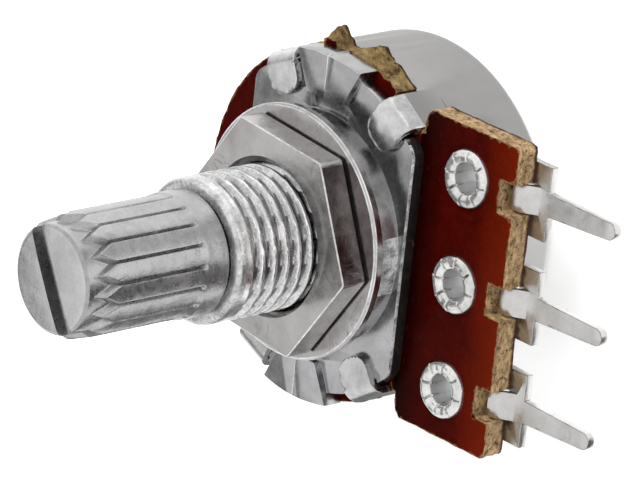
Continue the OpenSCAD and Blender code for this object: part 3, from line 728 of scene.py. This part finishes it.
def makeNut():
    # hexagon outline r = flats / 2 / cos(a), a being the bearing from the nearest flat's
    # middle, stacked in rings with small chamfers at the front and larger ones behind
    size = nutSize
    low, high = washerTop, nutTop
    turn = np.sort(np.concatenate([np.linspace(0, 360, 180, endpoint=False) + size["turn"],
                                   size["turn"] + np.arange(6) * 60 + size["cornerTurn"]]))
    a = (turn - size["turn"]) % 60 - 30
    corner = size["flats"] / math.sqrt(3) - size["cornerCut"]
    hexagon = np.minimum(size["flats"] / 2 / np.cos(np.radians(a)), corner)
    rings = [(1 - size["back"] / 5, low), (1, low + size["back"]), (1, high - size["front"]),
             (1 - size["front"] / 5, high)]
    outer = np.stack([np.stack([hexagon * share, np.full(len(turn), z)], -1) for share, z in rings], 1)
    inner = np.array([(size["bore"] + size["sink"], high), (size["bore"], high - size["sink"]),
                      (size["bore"], low)])
    both = np.concatenate([outer, allRound(inner, turn)], axis=1)
    return gridPiece("hexNut", swept(np.radians(turn)[:, None], both))


def nutFace(middle, normal, slot):
    # the front chamfer takes a painted highlight, the one over the washer painted shade, and the flat
    # towards the pins is darker with painted shade
    if 0.1 < abs(normal.z) < 0.95 and math.hypot(middle.x, middle.y) > 4.5:
        return 1 if middle.z > nutTop - 0.3 else 2
    return 3 if normal.y < -0.9 else 0


nut = makeNut()
dress(nut, metals["nutMetal"], "case", ["hex_nut"],
      [metals["edgeHighlightMetal"], metals["shadeMetal"], metals["shadedFlatMetal"]])
paintFaces(nut, nutFace)
# the washer's eased edges take the bright edge material, a painted highlight
washer = solidCopy("flatWasher", "flat_washer", bevel=0.04, edge=metals["edgeHighlightMetal"])
dress(washer, metals["nutMetal"], "case", ["flat_washer"])


# board

boardSize = {"cell": 0.24, "first": 0.13, "layers": 6, "push": 0.05, "rough": 0.07, "most": 0.12,
             "holeClear": 1.3, "stumpX": 7.9, "stumpY": -5.0, "gnaw": 0.6, "tornX": 7.6}


def outlineDistance(points, piece):
    # distance in mm from each point to the nearest edge between the flat front and a side
    work = bmesh.new()
    work.from_mesh(piece.data)
    ends = [[v.co[:2] for v in edge.verts] for edge in work.edges
            if len(edge.link_faces) == 2 and min(v.co.z for v in edge.verts) > (boardZ - 0.01) * mm
            and sum(face.normal.z > 0.9 for face in edge.link_faces) == 1]
    work.free()
    nearest = np.full(len(points), 9.0)
    for start, end in np.array(ends) / mm:
        along = end - start
        t = np.clip(((points - start) @ along) / max(along @ along, 1e-9), 0, 1)
        gap = np.linalg.norm(points - start - t[:, None] * along, axis=1)
        nearest = np.minimum(nearest, gap)
    return nearest


def makeBoard():
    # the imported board, diced finely, with its sawn and torn edges pushed in by layered noise
    # and its torn stumps gnawed deeper
    size = boardSize
    board = solidCopy("boardCore", "wafer_board", bevel=0)
    for axis in (0, 1):
        dice(board, axis, np.arange(boardLow[axis] + size["first"], boardHigh[axis], size["cell"]))
    dice(board, 2, np.linspace(backZ, boardZ, size["layers"] + 1)[1:-1])
    points, normals = readPoints(board), readNormals(board)
    x, y = points[:, 0], points[:, 1]
    rim = outlineDistance(points[:, :2], board)
    flat = normals.copy()
    flat[:, 2] = 0
    length = np.linalg.norm(flat, axis=1, keepdims=True)
    flat = np.where(length > 0.2, flat / np.maximum(length, 1e-6), 0)
    layers = lump(points * (1, 1, 3.5), 0.55, 1) * 0.6 + lump(points * (1, 1, 2.0), 0.22, 2) * 0.4
    outside = (np.hypot(x, y) > 8) | (y < -8)
    middles = [(low + high) / 2 for low, high in rivetBox]
    toHole = np.min([np.hypot(x - middle[0], y - middle[1]) for middle in middles], axis=0)
    ragged = outside & (toHole >= size["holeClear"])
    depth = np.where(ragged, size["push"] + size["rough"] * layers, 0)
    moved = points - flat * np.clip(depth, 0, size["most"])[:, None]
    stump = (x > size["stumpX"]) & (y > size["stumpY"])
    bites = np.clip(lump(points, 0.5, 7) * 0.5 + lump(points, 0.25, 8) * 0.35, 0, 0.9)
    gnawed = bites * np.clip(x - size["stumpX"], 0, 0.5) * size["gnaw"]
    writePoints(board, moved - normals * (stump * gnawed)[:, None])
    store = board.data.attributes.new("rim", "FLOAT", "POINT")
    store.data.foreach_set("value", rim)
    return board


def boardFace(middle, normal, slot):
    if abs(normal.z) > 0.9:
        return 1
    return 2 if middle.x > boardSize["tornX"] and middle.y > boardSize["stumpY"] else 0


board = makeBoard()
dress(board, coreLaminate, "case", ["wafer_board"], [faceLaminate, tornLaminate])
paintFaces(board, boardFace)
smoothShade(board, 40)
print("board made:", len(board.data.polygons), "faces")


# cover

coverSize = {"ease": 0.06, "tabs": ((0, -8.4, -5.2), (0, 5.2, 8.4), (1, -6.0, -2.2), (1, 2.2, 5.6)),
             "cell": 0.22, "reach": 2.0, "rows": (1.4, 1.1, 0.8, 0.55), "calm": 0.12, "fade": (1.2, 0.8),
             "broad": 0.07, "close": 0.045}


def makeCover():
    # packed cup; the four tabs are diced and slightly crumpled by a noise that fades out down
    # the side, the tab beside the pins at +X most
    size = coverSize
    cover = solidCopy("rearCover", "rear_cover", bevel=size["ease"])
    bakeModifiers(cover)
    for axis, low, high in size["tabs"]:
        dice(cover, axis, np.arange(low, high, size["cell"]), coverTop - size["reach"])
    dice(cover, 2, [coverTop - row for row in size["rows"]])
    points, normals = readPoints(cover), readNormals(cover)
    crumple = size["calm"] + (1 - size["calm"]) * ((points[:, 0] > 0) & (points[:, 1] < 0))
    fade = np.clip((points[:, 2] - (coverTop - size["fade"][0])) / size["fade"][1], 0, 1)
    broad = 0.5 * (lump(points, 0.8, 5) - 1) * size["broad"]
    close = 0.5 * (lump(points, 0.35, 6) - 1) * size["close"]
    writePoints(cover, points + normals * ((broad + close) * crumple * fade)[:, None])
    smoothShade(cover, 40)
    return cover


cover = makeCover()
dress(cover, metals["coverMetal"], "case", ["rear_cover"], [metals["tabMetal"]])
paintFaces(cover, lambda middle, normal, slot: int(middle.z > boardZ - 0.4))


# pins

pinSize = {"ease": 0.07, "half": 0.7, "lean": (0.02, 0.05, 0.10), "pillow": 0.16, "crown": 0.14,
           "ripple": 0.03, "bendStart": -13.0, "bendLength": 4.6, "flutter": 0.015}


def makePin(number):
    # packed terminal, eased; its raised hump gets a pillow shape across, a crown along and
    # fine ripples, and the pin leans towards +X
    size = pinSize
    pin = solidCopy("solderPin" + str(number), "terminal_" + str(number), size["ease"], 3,
                    metals["tinEdge"])
    bakeModifiers(pin)
    low, high = pinBox[number - 1]
    centre = (low[0] + high[0]) / 2
    dice(pin, 0, centre + np.linspace(-0.66, 0.66, 9))
    dice(pin, 1, np.linspace(low[1] + 0.6, size["bendStart"], 9))
    points = readPoints(pin)
    across = np.clip(np.abs(points[:, 0] - centre) / size["half"], 0, 1)
    above = np.clip((points[:, 2] - backZ) / 0.7, 0, 1)
    points[:, 2] -= above * size["pillow"] * across ** 3
    hump = points[points[:, 2] > points[:, 2].max() - 0.2, 1]
    along = np.abs(points[:, 1] - hump.mean()) / max(np.ptp(hump) / 2, 0.1)
    points[:, 2] -= above * size["crown"] * np.clip(along, 0, 1.2) ** 2
    points[:, 2] -= above * size["ripple"] * (1 + np.cos(points[:, 1] * 14 + number)) / 2
    out = np.clip((size["bendStart"] - points[:, 1]) / size["bendLength"], 0, 1)
    points[:, 0] += size["lean"][number - 1] * out ** 1.2
    points[:, 2] += size["flutter"] * lump(points, 0.9, 3) * out
    writePoints(pin, points)
    smoothShade(pin)
    return pin


for i in (1, 2, 3):
    dress(makePin(i), metals["pinTin"], "case", ["terminal_" + str(i)])


# rivets

rivetSize = {"head": 1.425, "hole": 0.7, "roll": 0.35, "barrel": 1.05, "back": 1.2, "splits": 8,
             "splitTurn": 40.0, "splitStart": 0.022, "splitGrow": 0.03, "splitDepth": 0.75,
             "petal": 0.07, "uneven": 0.08, "crown": 0.92, "roundness": 0.55}


def makeRivet(number):
    # a rolled head, height = roll crown sin(pi t)^roundness from rim to hole, pressed down in
    # narrow splits that widen towards the hole; then the bore, the clinched back and the barrel
    size = rivetSize
    low, high = rivetBox[number - 1]
    turn = bearings(160)
    t = np.linspace(0, 1, 26)[None]
    radius = size["head"] - (size["head"] - size["hole"]) * (t - 0.06 * np.sin(2 * np.pi * t))
    step = 2 * np.pi / size["splits"]
    aside = ((turn - math.radians(size["splitTurn"])) / step + 0.5) % 1.0 - 0.5
    gap = np.abs(aside) * step * radius
    wide = size["splitStart"] + size["splitGrow"] * t
    split = np.exp(-(gap / wide) ** 2) * np.clip((t - 0.15) / 0.1, 0, 1)
    petal = 1 + size["petal"] * np.cos(aside * np.pi)
    uneven = 1 + size["uneven"] * np.sin(3 * turn + number * 2.1) * np.sin(np.pi * t)
    rise = size["crown"] * (np.sin(np.pi * t) ** size["roundness"]) * np.minimum(petal * uneven, 1.08)
    height = boardZ + size["roll"] * np.minimum(rise * (1 - size["splitDepth"] * split), 1)
    radius = np.minimum(radius + 0.05 * split * t, size["head"])
    head = np.stack([radius + 0 * turn, height], -1)
    rest = np.array([[size["hole"], boardZ - 0.3], [size["hole"], low[2]], [size["back"] - 0.05, low[2]],
                     [size["back"], low[2] + 0.12], [size["barrel"], low[2] + 0.3],
                     [size["barrel"], boardZ], [size["head"], boardZ]])
    both = np.concatenate([head[:, 1:], allRound(rest, turn)], axis=1)
    return gridPiece("hollowRivet" + str(number), swept(turn, both, (low + high) / 2))


def boreFace(middle, normal, slot, centre):
    # the bore below the rolled head is dull
    reach = math.hypot(middle.x - centre[0], middle.y - centre[1])
    return int(reach < rivetSize["hole"] + 0.02 and middle.z < boardZ + 0.1)


for i, (low, high) in enumerate(rivetBox, 1):
    rivet = makeRivet(i)
    dress(rivet, metals["rivetTin"], "case", ["eyelet_" + str(i)], [metals["boreMetal"]])
    paintFaces(rivet, lambda *face: boreFace(*face, (low + high) / 2))
print("pins and rivets made")


# pieces inside

innerKinds = {"rotor": (plains["rotorPlastic"], "spindle", 0.08, "rotor_plastic"),
              "wiper": (metals["bronzeMetal"], "spindle", 0.03, "wiper_bronze"),
              "retaining_ring": (metals["steelMetal"], "spindle", 0.04, "ring_steel"),
              "thrust_washer": (metals["steelMetal"], "spindle", 0.03, "ring_steel"),
              "resistive_track": (plains["carbonFilm"], "case", 0.01, "carbon_film")}
for node in ("collector_ring", "end_pad_1", "end_pad_3", "centre_lead"):
    innerKinds[node] = (plains["silverPrint"], "case", 0.01, "silver_film")
for node, (material, body, bevel, slot) in innerKinds.items():
    words = node.split("_")
    inner = solidCopy(words[0] + "".join(word.title() for word in words[1:]) + "Inside", node, bevel)
    dress(inner, material, body, [node])
print("inner pieces made")


# floor and surround, white to the camera and dimmer as light

wide = 3.0
under = -0.01 * mm
floorMesh = bpy.data.meshes.new("floor")
floorMesh.from_pydata([(-wide, -wide, under), (wide, -wide, under), (wide, wide, under),
                       (-wide, wide, under)], [], [(0, 1, 2, 3)])
floor = newObject("floor", floorMesh)
floorPaint, fb, fshader = newMaterial("floorPaint")
fb.put((0.8, 0.8, 0.8, 1), fshader.inputs["Base Color"])
fb.put(0.9, fshader.inputs["Roughness"])
path = fb.add("LightPath").outputs
mirrored = fb.math("MULTIPLY", path["Is Glossy Ray"], 0.4)
seen = fb.math("MAXIMUM", path["Is Camera Ray"], mirrored)
seen = fb.math("MAXIMUM", seen, path["Is Transmission Ray"])
fb.put((1, 1, 1, 1), fshader.inputs["Emission Color"])
fb.put(fb.math("MULTIPLY", seen, 0.45), fshader.inputs["Emission Strength"])
floorMesh.materials.append(floorPaint)

world = bpy.data.worlds.new("studio")
bpy.context.scene.world = world
world.use_nodes = True
wb = Builder(world.node_tree)
backdrop = world.node_tree.nodes["Background"]
wb.put((1, 1, 1, 1), backdrop.inputs["Color"])
path = wb.add("LightPath").outputs
seen = wb.math("MAXIMUM", path["Is Camera Ray"], path["Is Glossy Ray"])
seen = wb.math("MAXIMUM", seen, path["Is Transmission Ray"])
wb.put(wb.scaled(seen, 0.0, 1.0, 0.55, 1.0), backdrop.inputs["Strength"])


# cards and lamps

def mirrorCard(name, corners, shade):
    # card that only mirror rays see, so that the bright surround leaves bands in the metal
    mesh = bpy.data.meshes.new(name)
    mesh.from_pydata(corners, [], [(0, 1, 2, 3)])
    card = newObject(name, mesh)
    paint, cb, shader = newMaterial(name + "Paint")
    cb.put((0, 0, 0, 1), shader.inputs["Base Color"])
    cb.put(0.0, shader.inputs["Specular IOR Level"])
    cb.put((1, 1, 1, 1), shader.inputs["Emission Color"])
    cb.put(shade, shader.inputs["Emission Strength"])
    mesh.materials.append(paint)
    card.visible_camera = card.visible_diffuse = card.visible_shadow = False
    card.visible_transmission = False


def floorWedge(name, turn0, turn1, near, far, shade):
    # flat card just over the floor between two bearings from the shaft's axis
    spots = [(near, turn0), (far, turn0), (far, turn1), (near, turn1)]
    corners = [(r * math.cos(math.radians(a)), r * math.sin(math.radians(a)), 0.0002) for r, a in spots]
    mirrorCard(name, corners, shade)


floorWedge("nearCard", -130, -88, 0.022, 0.5, 0.1)
floorWedge("paleCard", -130, -50, 0.009, 0.0215, 1.6)
floorWedge("midCard", -50, -12, 0.012, 0.5, 0.75)
floorWedge("leftCard", 160, 205, 0.012, 0.5, 0.25)
mirrorCard("highCard", [(-0.25, 0.30, 0.10), (0.10, 0.42, 0.10), (0.02, 0.38, 0.26),
                        (-0.28, 0.27, 0.26)], 0.3)


def softLamp(name, place, power, size):
    data = bpy.data.lights.new(name, "AREA")
    data.energy, data.size = power, size
    lamp = newObject(name, data)
    lamp.location = place
    aim = Vector((0, 0, 0.01)) - Vector(place)
    lamp.rotation_euler = aim.to_track_quat("-Z", "Y").to_euler()
    lamp.visible_glossy = False


softLamp("keyLamp", (0.35, -0.05, 0.35), 2.6, 0.25)
softLamp("sideLamp", (-0.25, -0.3, 0.3), 1.0, 0.3)


# camera, fitted to the photo

camera = newObject("camera", bpy.data.cameras.new("camera"))
camera.data.sensor_width = 36.0
camera.data.lens = 308.47
camera.location = (0.0873185, -0.1772207, 0.1747938)
camera.rotation_euler = (-0.2337599, 0.8437403, -1.4180865)
camera.data.clip_start, camera.data.clip_end = 0.01, 20.0
bpy.context.scene.camera = camera
bpy.context.scene.view_settings.view_transform = "Standard"

print("scene ready")
